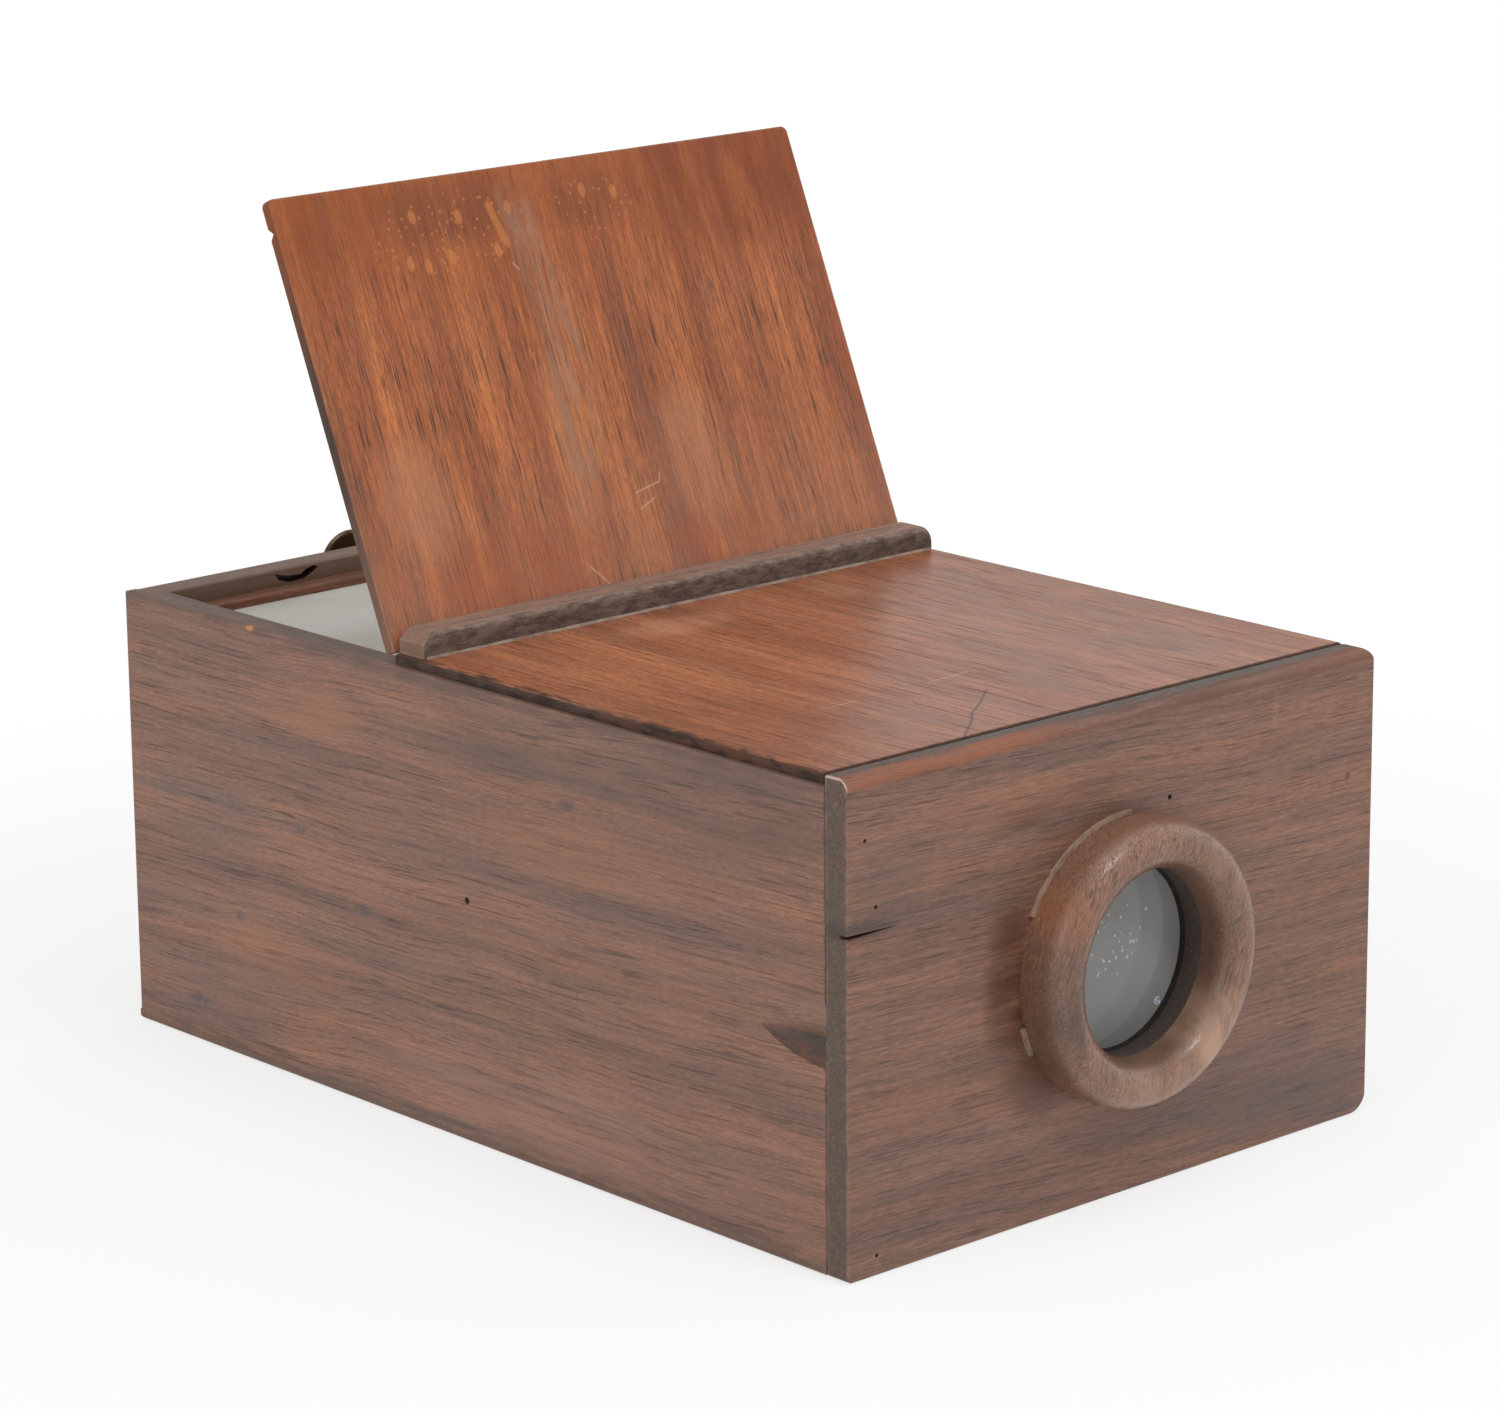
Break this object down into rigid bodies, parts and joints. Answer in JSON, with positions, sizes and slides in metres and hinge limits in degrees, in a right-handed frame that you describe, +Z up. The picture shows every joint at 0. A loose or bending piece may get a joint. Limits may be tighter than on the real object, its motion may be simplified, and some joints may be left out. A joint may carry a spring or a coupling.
{
  "type": "camera obscura",
  "caption": "Mahogany reflex box camera obscura: a lens in a turned ring on a sliding front, an inner mirror and a ground-glass drawing screen under a hinged shading lid.",
  "frame": {"origin": "centre of the case's underside, on the surface it stands on", "axes": "+Z up, +Y from the lens to the rear wall, +X to the right as seen from the lens side"},
  "size_m": [0.19, 0.3292, 0.2412],
  "materials": {
    "case_wood": "dull worn mahogany, oiled",
    "polished_wood": "French-polished mahogany with a soft sheen",
    "strip_wood": "dark, dusty mahogany strip",
    "inner_wood": "unpolished, darkened",
    "drawer_wood": "unpolished, darkened inside",
    "blackened_wood": "blackened, matt",
    "ring_wood": "turned hardwood, waxed",
    "screen_glass": "ground on the underside",
    "lens_glass": "polished, dusty",
    "mirror": "silvered plate",
    "aged_brass": "dark bronzed patina",
    "hinge_brass": "dull",
    "black_metal": "matt black",
    "iron": "rusted dull"
  },
  "bodies": {
    "case": {"bottom_board": "case_wood", "left_side_wall": "case_wood", "right_side_wall": "case_wood", "rear_wall": "case_wood", "top_deck": "polished_wood", "lid_stop_strip": "strip_wood", "hinge_rail": "inner_wood", "left_glass_ledge": "inner_wood", "right_glass_ledge": "inner_wood", "rear_glass_ledge": "inner_wood", "ground_glass": "screen_glass", "rear_bead": "inner_wood", "left_bead": "inner_wood", "right_bead": "inner_wood", "mirror_glass": "mirror", "mirror_board": "blackened_wood", "mirror_toe_strip": "blackened_wood", "mirror_head_strip": "blackened_wood", "left_mirror_batten": "blackened_wood", "right_mirror_batten": "blackened_wood", "rear_knob": "aged_brass", "knob_rose": "aged_brass", "left_hinge_fixed_leaf": "hinge_brass", "right_hinge_fixed_leaf": "hinge_brass", "left_hinge_pin": "hinge_brass", "right_hinge_pin": "hinge_brass", "rail_hinge_screws": "hinge_brass", "bottom_brads": "iron"},
    "lid": {"lid_board": "polished_wood", "left_hinge_lid_leaf": "hinge_brass", "right_hinge_lid_leaf": "hinge_brass", "lid_hinge_screws": "hinge_brass"},
    "focus_drawer": {"front_panel": "case_wood", "drawer_left_side": "drawer_wood", "drawer_right_side": "drawer_wood", "drawer_top": "drawer_wood", "drawer_bottom": "drawer_wood", "lens_ring": "ring_wood", "lens_cell": "black_metal", "lens": "lens_glass", "lens_retaining_ring": "black_metal", "lens_cell_screws": "hinge_brass", "front_panel_brads": "iron"}
  },
  "joints": [
    {"name": "lid_hinge", "type": "hinge", "parent": "case", "child": "lid", "pos_m": [0, 0.02585, 0.1267], "axis": [1, 0, 0], "range_deg": [-67, 30]},
    {"name": "focus_slide", "type": "slide", "parent": "case", "child": "focus_drawer", "axis": [0, -1, 0], "range_m": [0, 0.09]}
  ]
}
